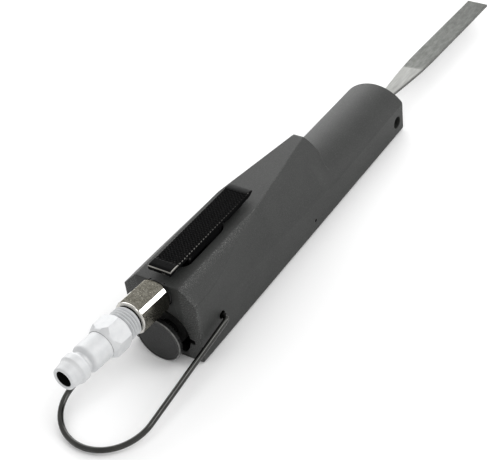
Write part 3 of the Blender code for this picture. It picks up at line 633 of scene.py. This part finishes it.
def housing_rings():
    rings = [level(0.0, inset_ring(full_ring(raised_half(0.0)), 0.45)),
             level(0.06, inset_ring(full_ring(raised_half(0.0)), 0.24)),
             level(0.20, inset_ring(full_ring(raised_half(0.2)), 0.08)),
             level(0.45, full_ring(raised_half(0.45)))]
    y = 2.0
    while y < 60.0:
        rings.append(level(y, full_ring(raised_half(y))))
        y += 2.0
    while y < 100.5:
        rings.append(level(y, full_ring(raised_half(y))))
        y += 3.0
    for y in (101.0, 102.0, 103.0, 104.0, 105.0):
        up_, down = raised_half(y), nose_half(y)
        half_points = []
        for a, b in zip(up_, down):
            share = run_out(y, a[1])
            half_points.append((a[0] + (b[0] - a[0]) * share, a[1] + (b[1] - a[1]) * share))
        rings.append(level(y, full_ring(half_points)))
    for before, after, share in ((2.6, 0, 0.0), (1.7, 0, 0.0), (1.0, 0, 0.003), (0.6, 0, 0.009), (0.3, 0, 0.020),
                                 (0.1, 0, 0.036), (0, 0.03, 0.062), (0, 0.08, 0.11), (0, 0.2, 0.225),
                                 (0, 0.4, 0.42), (0, 0.6, 0.615), (0, 0.8, 0.81), (0, 0.93, 0.92),
                                 (0, 1.0, 0.965), (0, 1.4, 0.990), (0, 2.1, 1.0)):
        rings.append(step_ring(before, after, share))
    y = 118.0
    while y < 176.0:
        rings.append(level(y, full_ring(nose_half(y))))
        y += 5.0
    for y, inset in ((178.4, 0.0), (178.6, 0.05), (178.78, 0.14), (178.91, 0.27), (179.0, 0.48)):
        rings.append(level(y, inset_ring(full_ring(nose_half(y)), inset)))
    return rings


def build_housing():
    rings = housing_rings()
    n = len(rings[0])
    verts = [P(x, y, z) for ring_points in rings for x, y, z in ring_points]
    faces = []
    for k in range(len(rings) - 1):
        for i in range(n):
            j = (i + 1) % n
            faces.append((k * n + i, k * n + j, (k + 1) * n + j, (k + 1) * n + i))
    faces.append(tuple(reversed(range(n))))
    faces.append(tuple(range((len(rings) - 1) * n, len(rings) * n)))
    return mesh_object("housing_shell", verts, faces, COAT)


housing = build_housing()

recess = arc((0.0, 10.75), 11.7, -44.0, -9.5, 14)
recess += [(13.9, 8.65), (13.9, 10.85)]
recess += arc((0.0, 10.75), 11.7, 1.5, 178.5, 60)
recess += [(-13.9, 10.85), (-13.9, 8.65)]
recess += arc((0.0, 10.75), 11.7, 189.5, 224.0, 14)
recess = soften(recess, 0.35, 2, True)
slot = soften([(6.0, 11.6), (6.0, 41.6), (-6.0, 41.6), (-6.0, 11.6)], 4.8, 10, True)

cuts = [
    prism("recess_cut", [(offset_outline(recess, 0.75), -0.5), (offset_outline(recess, 0.25), 0.0),
                         (offset_outline(recess, 0.06), 0.16), (recess, 0.4), (recess, 9.5)],
          lambda u, v_, h: P(u, h, v_)),
    prism("slot_cut", [(slot, 33.0), (slot, 36.65), (offset_outline(slot, 0.07), 36.85),
                       (offset_outline(slot, 0.3), 37.0), (offset_outline(slot, 0.8), 37.5)],
          lambda u, v_, h: P(u, v_, h)),
    box_cutter("knuckle_cut", (-4.3, 44.6, 28.6), (4.3, 55.4, 39.0)),
    cylinder("lever_pin_cut", 1.8, (8.0, 50.0, 33.4), (-22.0, 50.0, 33.4), 32),
    cylinder("air_feed_cut", 2.1, (0, 8.4, 29.6), (0, 26.0, 16.5), 24),
    cylinder("stem_cut", 3.2, (0, 26.0, 20.0), (0, 26.0, 36.0), 32),
    cylinder("chamber_cut", 5.5, (0, 26.0, 25.0), (0, 26.0, -2.0), 48, (25.0, 0.35)),
    cylinder("air_outlet_cut", 1.6, (0, 26.0, 26.8), (0, 64.0, 12.2), 20),
    cylinder("main_bore_cut", 7.6, (0, 62.0, 9.3), (0, 182.0, 9.3), 64, (117.0, 0.5)),
    cylinder("clip_groove_cut", 8.1, (0, 152.2, 9.3), (0, 153.8, 9.3), 64),
    cylinder("exhaust_channel_right", 2.0, (8.9, 6.0, 10.0), (8.9, 114.0, 10.0), 20),
    cylinder("exhaust_channel_left", 2.0, (-8.9, 6.0, 10.0), (-8.9, 114.0, 10.0), 20),
    cylinder("cap_screw_cut", 3.3, (0, 7.0, 10.75), (0, 17.0, 10.75), 32),
    cylinder("access_right", 3.0, (6.0, 172.5, 7.5), (18.0, 172.5, 7.5), 40, (8.75, 0.22)),
    cylinder("access_left", 3.0, (-6.0, 172.5, 7.5), (-18.0, 172.5, 7.5), 40, (8.75, 0.22)),
    cylinder("locating_pin_cut", 0.75, (5.0, 91.8, 6.1), (18.0, 91.8, 6.1), 20),
    cylinder("hanger_hole_right", 1.8, (12.2, 16.0, 13.2), (20.0, 16.0, 13.2), 32, (4.95, 0.2)),
    cylinder("hanger_hole_left", 1.8, (-12.2, 16.0, 13.2), (-20.0, 16.0, 13.2), 32, (4.95, 0.2)),
    lathe("inlet_cut", [(0, 2.0), (4.8, 2.0), (4.8, -10.0), (0, -10.0)], INLET, steps=48),
    lathe("seal_seat_cut", [(0, 1.0), (7.2, 1.0), (6.6, 0.0), (6.6, -0.85), (0, -0.85)], INLET, steps=64),
]
outside = BVHTree.FromPolygons([v_.co.copy() for v_ in housing.data.vertices],
                               [tuple(p.vertices) for p in housing.data.polygons])
carve(housing, cuts)
# faces deep inside the outer shell take the painted shade
housing.data.materials.append(CAVITY_SHADE)
for poly in housing.data.polygons:
    if poly.center.y < 0.075 and outside.find_nearest(poly.center)[3] > 0.00045:
        poly.material_index = len(housing.data.materials) - 1
finish_mesh(housing, 32)
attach(housing, "tool_body")
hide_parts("housing")


# ================================================================ inlet
def inlet_place(u, v_, h):
    return INLET @ Vector((u * MM, v_ * MM, h * MM))


flat, half_flat = 5.95, 4.6
square = []
for k in range(4):
    a = math.radians(90 * k - 3.5)
    for u, v_ in ((flat, -half_flat), (flat, half_flat)):
        square.append((u * math.cos(a) - v_ * math.sin(a), u * math.sin(a) + v_ * math.cos(a)))
bar_outline = soften(square, 0.14, 3, True)
inlet = prism("inlet_nipple", [(bar_outline, 0.4), (bar_outline, 17.1)], inlet_place, NICKEL)
turned = lathe("inlet_turned", [
    (0, 17.3), (7.6, 17.3), (7.6, 2.2), (7.38, 1.8), (7.1, 1.45), (6.82, 1.15), (6.5, 0.9), (6.2, 0.74),
    (5.9, 0.6), (5.6, 0.49), (5.3, 0.42), (0, 0.42)],
    INLET, steps=128)
carve(inlet, [turned], 'INTERSECT')
collar = lathe("inlet_collar", [
    (0, 17.9), (6.65, 17.9), (6.95, 17.84), (7.15, 17.7), (7.25, 17.5), (7.25, 17.15), (7.15, 16.95),
    (6.95, 16.82), (6.55, 16.8), (0, 16.8)], INLET, steps=128)
spigot = lathe("inlet_spigot", [(0, 2.0), (4.5, 2.0), (4.5, -9.1), (4.2, -9.4), (0, -9.4)], INLET, steps=64)
carve(inlet, [collar, spigot], 'UNION')
carve(inlet, [lathe("inlet_thread", [(0, 19.0), (5.6, 19.0), (4.9, 17.4), (4.9, 6.0), (0, 6.0)], INLET, steps=64),
              lathe("inlet_bore", [(0, 8.0), (3.0, 8.0), (3.0, -12.0), (0, -12.0)], INLET, steps=48)])
inlet.data.materials.clear()
for mat in (NICKEL, LIT_NICKEL_CORNER, LIT_NICKEL_RING):
    inlet.data.materials.append(mat)
to_inlet = INLET.inverted()
for poly in inlet.data.polygons:
    centre, normal = to_inlet @ poly.center, to_inlet.to_3x3() @ poly.normal
    turn_deg = math.degrees(math.atan2(normal.y, normal.x)) + 3.5
    poly.material_index = 0
    # collar and corners take the lighter copies, partly painted reflection
    if centre.z > 16.7 * MM:
        poly.material_index = 2
    elif centre.z > 0.3 * MM and abs(normal.z) < 0.3 and math.hypot(centre.x, centre.y) > 5.0 * MM:
        if abs((turn_deg - 45.0 + 45.0) % 90.0 - 45.0) < 22.5:
            poly.material_index = 1
finish_mesh(inlet, 30)
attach(inlet, "tool_body")
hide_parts("inlet_bushing")


# ================================================================ coupler plug
def helix_thread(name, low, high, root, crest, pitch, steps=96, per=10):
    """Closed threaded cylinder between two heights on the inlet axis."""
    rows = int((high - low) / pitch * per)
    verts, faces = [], []
    for i in range(rows + 1):
        h = low + (high - low) * i / rows
        fade = min(1.0, (h - low) / 0.7, (high - h) / 0.7)
        for k in range(steps):
            a = 2 * math.pi * k / steps
            phase = (h / pitch - k / steps) % 1.0
            ridge = max(0.0, 1.0 - abs(phase - 0.5) * 2.0 * 1.15)
            r = root + (crest - root) * min(1.0, ridge * 1.25) * max(0.0, fade)
            verts.append(INLET @ Vector((r * MM * math.cos(a), r * MM * math.sin(a), h * MM)))
    for i in range(rows):
        for k in range(steps):
            j = (k + 1) % steps
            faces.append((i * steps + k, i * steps + j, (i + 1) * steps + j, (i + 1) * steps + k))
    faces.append(tuple(reversed(range(steps))))
    faces.append(tuple(range(rows * steps, (rows + 1) * steps)))
    return mesh_object(name, verts, faces, PLATE)


plug_profile = [
    (0, 56.5), (4.4, 56.5), (4.9, 56.1), (5.05, 54.6), (5.45, 52.2), (5.75, 51.5), (6.1, 50.9),
    (6.1, 48.1), (5.85, 47.5), (5.2, 47.0), (4.55, 46.6), (4.5, 46.3), (4.5, 45.7), (4.6, 45.3),
    (5.3, 44.85), (5.9, 44.3), (6.1, 43.7), (6.1, 34.9), (6.2, 34.5), (6.5, 33.5), (6.5, 25.1), (6.0, 24.7),
    (6.0, 24.4)]
plug = lathe("plug_turned", soften(plug_profile, 0.30, 3) + [(0, 24.4)], INLET, PLATE, 128)
hexagon = prism("plug_hexagon", [
    (soften([(14.0 / math.sqrt(3) * math.cos(math.radians(60 * k + 12)),
              14.0 / math.sqrt(3) * math.sin(math.radians(60 * k + 12))) for k in range(6)], 0.2, 2, True), h)
    for h in (25.0, 34.9)], inlet_place)
hex_cone = lathe("plug_hex_cone", [
    (0, 35.0), (6.2, 35.0), (6.6, 34.3), (7.2, 33.2), (7.9, 32.0), (8.2, 31.4), (8.2, 26.2), (7.7, 25.5),
    (7.0, 25.0), (0, 25.0)], INLET, steps=128)
carve(hexagon, [hex_cone], 'INTERSECT')
thread = helix_thread("plug_thread", 18.3, 24.9, 5.75, 6.58, 1.32)
shank = lathe("plug_shank", [(0, 18.9), (4.6, 18.9), (4.6, 8.2), (0, 8.2)], INLET, steps=64)
carve(plug, [hexagon, thread, shank], 'UNION')
carve(plug, [lathe("plug_bore", [(0, 60.0), (7.4, 60.0), (3.75, 56.35), (3.45, 56.0), (3.4, 55.6), (3.4, 4.0),
                                 (0, 4.0)], INLET, steps=64)])
plug.name = "plug_body"
# the plug's bore takes the painted shade
plug.data.materials.append(CAVITY_SHADE)
for poly in plug.data.polygons:
    centre = to_inlet @ poly.center
    if centre.z < 55.9 * MM and math.hypot(centre.x, centre.y) < 3.5 * MM:
        poly.material_index = len(plug.data.materials) - 1
finish_mesh(plug, 32)
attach(plug, "tool_body")
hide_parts("coupler_plug")


# ================================================================ lever
PITCH = 1.65
LEVER_HALF = 5.5


def lever_top(y):
    if y < 3.6:
        return 41.35 + (y - 3.0) * 0.75
    if y < 58.0:
        return 41.80 - (y - 3.6) * 0.0095
    q = (y - 58.0) / 4.2
    return 41.28 - 0.9 * q * q


def lever_bottom(y):
    if y < 41.0:
        return 39.4
    return 38.6 if y < 58.0 else 38.6 + 1.4 * ((y - 58.0) / 4.2) ** 2


def knurl(x, y):
    if y < 7.6 or y > 58.0:
        return 0.0
    fade = min(1.0, (y - 7.6) / 0.6, (58.0 - y) / 0.6)
    u = ((x + y) / PITCH) % 1.0
    w = ((x - y) / PITCH) % 1.0
    groove = max(abs(u - 0.5), abs(w - 0.5)) * 2.0
    return -0.42 * fade * max(0.0, (groove - 0.30) / 0.70)


def build_lever_plate():
    nx = 56
    ys = [3.0, 3.08, 3.2, 3.4, 3.7, 5.0, 6.5, 7.4]
    y = 7.6
    while y < 58.2:
        ys.append(y)
        y += PITCH / 8
    ys += [59.0, 60.0, 60.8, 61.4, 61.8, 62.1, 62.2]
    verts, faces = [], []
    for y in ys:
        for side in (1, 0):
            for i in range(nx + 1):
                q = i / nx
                x = LEVER_HALF * (2 * q - 1)
                edge = LEVER_HALF - abs(x)
                round_off = 0.0 if edge > 0.3 else 0.28 * (1 - edge / 0.3) ** 2
                if side:
                    z = lever_top(y) + knurl(x, y) - round_off
                else:
                    x = -x
                    z = lever_bottom(y) + round_off * 0.6
                verts.append(P(x, y, z))
    n = 2 * (nx + 1)
    for k in range(len(ys) - 1):
        for i in range(n):
            j = (i + 1) % n
            faces.append((k * n + i, k * n + j, (k + 1) * n + j, (k + 1) * n + i))
    for k in (0, len(ys) - 1):
        for i in range(nx):
            quad = (k * n + i, k * n + i + 1, k * n + n - 2 - i, k * n + n - 1 - i)
            faces.append(quad)
    return mesh_object("lever_plate", verts, faces, OXIDE)


def side_place(u, v_, h):
    return P(h, u, v_)


lever = build_lever_plate()
flange_outline = soften([(14.7, 39.9), (14.7, 39.4), (14.9, 38.0), (15.5, 36.4), (16.6, 35.0), (36.4, 35.0),
                         (37.6, 36.4), (38.6, 37.8), (39.4, 38.6), (39.6, 39.9)], 0.8, 4, True)
small = offset_outline(flange_outline, -0.25)
flanges = []
for name, x0, x1 in (("flange_right", 4.1, 5.5), ("flange_left", -5.5, -4.1)):
    flanges.append(prism(name, [(small, x0), (flange_outline, x0 + 0.25), (flange_outline, x1 - 0.25),
                                (small, x1)], side_place))
inner_web = soften([(14.95, 39.9), (15.1, 38.0), (15.6, 36.8), (16.2, 36.6), (16.2, 39.9)], 0.2, 2, True)
flanges.append(prism("lever_web", [(inner_web, -4.3), (inner_web, 4.3)], side_place))
knuckle = arc((50.0, 33.4), 3.6, 180, 360, 24) + [(53.6, 39.0), (46.4, 39.0)]
flanges.append(prism("lever_knuckle", [(offset_outline(knuckle, -0.3), -3.9), (knuckle, -3.6), (knuckle, 3.6),
                                       (offset_outline(knuckle, -0.3), 3.9)], side_place))
carve(lever, flanges, 'UNION')
carve(lever, [cylinder("lever_eye", 1.8, (-8, 50.0, 33.4), (8, 50.0, 33.4), 40)])
lever.name = "thumb_lever"
finish_mesh(lever, 28, False)
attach(lever, "lever")
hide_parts("throttle_lever")


# ================================================================ exhaust cap
cap_frame = axis_matrix(P(0, 0, 10.75), (0.0, -1.0, 0.0))
cap_piece = lathe("exhaust_disc", soften([
    (0, 5.75), (9.5, 5.75), (9.75, 5.9), (10.35, 5.9), (10.7, 5.5), (10.7, 3.7), (10.35, 3.3), (4.4, 3.3),
    (3.9, 2.6), (3.9, -8.6), (3.0, -9.2), (3.0, -16.2), (0, -16.2)], 0.2, 3), cap_frame, CAP, 128)
finish_mesh(cap_piece, 30)
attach(cap_piece, "tool_body")
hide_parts("exhaust_cap")


# ================================================================ hanger
tilt = math.radians(9.0)


def on_hanger(x, s_):
    return P(x, 16.0 - s_ * math.cos(tilt), 13.2 - s_ * math.sin(tilt))


def tube_along(name, points, radius, mat, around=20, ends=0.3):
    """Round wire swept along points, with slightly domed ends."""
    verts, faces = [], []
    side = None
    total = len(points)
    for i, p in enumerate(points):
        a, b = points[max(i - 1, 0)], points[min(i + 1, total - 1)]
        along = (b - a).normalized()
        if side is None:
            side = along.cross(Vector((0, 0, 1)))
            if side.length < 1e-6:
                side = along.cross(Vector((0, 1, 0)))
        side = (side - along * side.dot(along)).normalized()
        up_ = along.cross(side)
        for k in range(around):
            q = 2 * math.pi * k / around
            verts.append(p + (side * math.cos(q) + up_ * math.sin(q)) * radius * MM)
    for i in range(total - 1):
        for k in range(around):
            j = (k + 1) % around
            faces.append((i * around + k, i * around + j, (i + 1) * around + j, (i + 1) * around + k))
    for i, direction in ((0, -1), (total - 1, 1)):
        a, b = points[max(i - 1, 0)], points[min(i + 1, total - 1)]
        along = (b - a).normalized() * direction
        tip = len(verts)
        verts.append(points[i] + along * ends * MM)
        for k in range(around):
            faces.append((i * around + k, i * around + (k + 1) % around, tip))
    return mesh_object(name, verts, faces, mat)


half = [(12.8 + 4.4 * i / 6, 0.0) for i in range(7)]
half += [(17.4 + 2.6 * math.sin(a), 2.6 - 2.6 * math.cos(a))
         for a in (math.radians(9 * k) for k in range(1, 11))]
half += [(20.0, 2.6 + 53.0 * i / 20) for i in range(1, 21)]
loop = [(20.0 * math.cos(a), 55.8 + 20.0 * math.sin(a))
        for a in (math.radians(180 * i / 72) for i in range(0, 73))]
line = half + loop + [(-x, s_) for x, s_ in reversed(half)]
hanger = tube_along("hanger_wire", [on_hanger(x, s_) for x, s_ in line], 1.2, DARK_WIRE, 24, 0.1)
finish_mesh(hanger, 50, False)
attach(hanger, "hanger")
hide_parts("hanger_bail")

# valve spring: a rigid coil from its foot on the plug up to the poppet, attached to the throttle body
SPRING_LOW, SPRING_HIGH, SPRING_R, SPRING_WIRE, SPRING_TURNS = 8.8, 20.1, 3.5, 0.45, 5.5
coil = []
for i in range(int(SPRING_TURNS * 20) + 1):
    share = i / (SPRING_TURNS * 20)
    a = 2 * math.pi * SPRING_TURNS * share
    coil.append(P(SPRING_R * math.cos(a), 26.0 + SPRING_R * math.sin(a),
                  SPRING_LOW + (SPRING_HIGH - SPRING_LOW) * share))
spring = tube_along("valve_spring_coil", coil, SPRING_WIRE, GROUND, 10, 0.05)
finish_mesh(spring, 50, False)
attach(spring, "throttle")
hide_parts("valve_spring")
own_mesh(spring)


# ================================================================ file blade
FILE_WIDTH, FILE_THICK, FILE_LENGTH = 11.4, 1.4, 110.4
blade_frame = Matrix.Translation(P(0, 179.0, 9.5)) @ Matrix.Rotation(math.radians(-1.9), 4, 'Z')
CUT_START = 35.7


def blade_half(y):
    if y <= 12.0:
        return 3.0
    if y >= 50.0:
        return FILE_WIDTH / 2
    return 3.0 + (FILE_WIDTH / 2 - 3.0) * math.sin(math.radians(90 * (y - 12.0) / 38.0)) ** 1.09


def tooth(x, y):
    start = CUT_START + 0.2 * (x + 5.7)
    if y < start:
        return 0.0
    fade = min(1.0, (y - start) / 1.5, max(0.0, (FILE_LENGTH - 1.0 - y) / 1.0))
    up_cut = ((y + 0.46 * x) / 0.80) % 1.0
    over_cut = ((y - 0.85 * x) / 1.30) % 1.0
    return -fade * (0.11 * up_cut + 0.05 * (1.0 - abs(over_cut - 0.5) * 2.0))


def build_blade():
    nx = 26
    ys = [-10.6, -10.3, -6.0, 0.0, 6.0, 10.0]
    y = 11.0
    while y < CUT_START - 1.0:
        ys.append(y)
        y += 1.0
    while y < FILE_LENGTH - 0.3:
        ys.append(y)
        y += 0.16
    ys += [FILE_LENGTH - 0.3, FILE_LENGTH - 0.1, FILE_LENGTH]
    verts, faces = [], []
    for y in ys:
        half_w = blade_half(y)
        end = 0.0
        if y < -10.4 or y > FILE_LENGTH - 0.05:
            end = 0.25
        half_w -= end
        for side in (1, -1):
            for i in range(nx + 1):
                x = half_w * (2 * i / nx - 1) * side
                edge = half_w - abs(x)
                soft = 0.0 if edge > 0.25 else 0.10 * (1 - edge / 0.25) ** 2
                z = FILE_THICK / 2 - end - soft + tooth(x, y)
                verts.append(blade_frame @ Vector((x * MM, y * MM, side * z * MM)))
    n = 2 * (nx + 1)
    for k in range(len(ys) - 1):
        for i in range(n):
            j = (i + 1) % n
            faces.append((k * n + i, k * n + j, (k + 1) * n + j, (k + 1) * n + i))
    for k in (0, len(ys) - 1):
        for i in range(nx):
            faces.append((k * n + i, k * n + i + 1, k * n + n - 2 - i, k * n + n - 1 - i))
    obj = mesh_object("file_blade", verts, faces, FILE_SMOOTH)
    obj.data.materials.append(FILE_CUT)
    obj.data.materials.append(FILE_SIDE)
    inverse = blade_frame.inverted()
    for poly in obj.data.polygons:
        local = inverse @ poly.center
        x, y, z = local.x / MM, local.y / MM, local.z / MM
        if abs(z) < 0.3:
            poly.material_index = 2
        elif y > CUT_START + 0.2 * (x + 5.7):
            poly.material_index = 1
    return obj


blade = build_blade()
finish_mesh(blade, 30, False)
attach(blade, "stroke")
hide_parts("file")

# chuck that holds the blade
bore_frame = axis_matrix(P(0, 0, 9.3), FORWARD)
chuck = lathe("chuck_body", soften([
    (0, 184.0), (4.9, 184.0), (5.8, 183.0), (5.8, 157.6), (5.4, 157.2), (3.1, 157.2), (3.1, 163.4),
    (0, 163.4)], 0.25, 3), bore_frame, GROUND, 96)
carve(chuck, [box_cutter("chuck_slot", (-3.9, 167.6, 8.5), (3.9, 186.0, 10.5)),
              cylinder("chuck_thread", 1.9, (-8.0, 172.5, 8.2), (8.0, 172.5, 8.2), 32)])
finish_mesh(chuck, 30)
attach(chuck, "stroke")
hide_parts("file_chuck")

# ================================================================ the other CAD pieces' finishes
finishes = {
    "lever_pin": GROUND, "throttle_valve": GROUND, "valve_seal": RUBBER, "stem_bushing": SINTER, "valve_plug": GROUND, "plug_o_ring": RUBBER, "inlet_seal": RUBBER,
    "inlet_screen": SINTER, "exhaust_silencer": FELT, "cylinder_head": MACHINED, "valve_box": GROUND,
    "valve_disc": GROUND, "valve_cover": GROUND, "cylinder_liner": GROUND, "locating_pin": COAT,
    "front_bushing": SINTER, "rod_seal": RUBBER, "retaining_ring": GROUND, "front_wiper": RUBBER,
    "piston": GROUND, "piston_ring": RUBBER, "piston_rod": GROUND, "clamp_screw_right": OXIDE,
    "clamp_screw_left": OXIDE,
}
for node, mat in finishes.items():
    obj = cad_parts[node]
    obj.data.materials.clear()
    obj.data.materials.append(mat)

# ================================================================ floor, light, camera
floor_mesh = bpy.data.meshes.new("studio_floor")
floor_mesh.from_pydata([(-4, -4, -0.0002), (4, -4, -0.0002), (4, 4, -0.0002), (-4, 4, -0.0002)], [], [(0, 1, 2, 3)])
floor = bpy.data.objects.new("studio_floor", floor_mesh)
ROOT.objects.link(floor)
paper, t, s = new_material("white_paper", (0.97, 0.97, 0.97), 0.9)
s.inputs["Specular IOR Level"].default_value = 0.1
floor_mesh.materials.append(paper)

world = bpy.context.scene.world or bpy.data.worlds.new("studio")
bpy.context.scene.world = world
world.use_nodes = True
background = world.node_tree.nodes.get("Background")
background.inputs["Color"].default_value = (1.0, 1.0, 1.0, 1.0)
background.inputs["Strength"].default_value = 0.85


def area_light(name, location, target, size, power, size_y=None):
    data = bpy.data.lights.new(name, 'AREA')
    data.shape = 'RECTANGLE'
    data.size = size
    data.size_y = size_y or size
    data.energy = power
    obj = bpy.data.objects.new(name, data)
    ROOT.objects.link(obj)
    obj.location = location
    direction = Vector(target) - Vector(location)
    obj.rotation_mode = 'QUATERNION'
    obj.rotation_quaternion = direction.to_track_quat('-Z', 'Y')
    return obj


area_light("key_light", (0.72, 0.30, 1.20), (0, -0.02, 0.02), 0.5, 3.2)
area_light("back_light", (-0.95, 1.25, 0.62), (0, 0.03, 0.02), 2.2, 21.0, 1.1)
area_light("side_panel", (0.82, 0.66, 0.51), (0, -0.10, 0.03), 0.50, 2.8)

camera_data = bpy.data.cameras.new("camera")
camera = bpy.data.objects.new("camera", camera_data)
ROOT.objects.link(camera)
camera_data.sensor_fit = 'HORIZONTAL'
camera_data.sensor_width = 36.0
camera_data.lens = 91.107
camera_data.clip_start = 0.01
camera_data.clip_end = 50.0
right_ = Vector((0.8352, 0.5386, -0.1114)).normalized()
back_ = Vector((0.4804, -0.6159, 0.6244))
back_ = (back_ - right_ * back_.dot(right_)).normalized()
up_ = back_.cross(right_)
camera.matrix_world = Matrix.Translation((0.2544, -0.3563, 0.3495)) @ \
    Matrix((right_, up_, back_)).transposed().to_4x4()
bpy.context.scene.camera = camera
bpy.context.scene.view_settings.view_transform = 'Standard'
bpy.context.scene.view_settings.look = 'None'
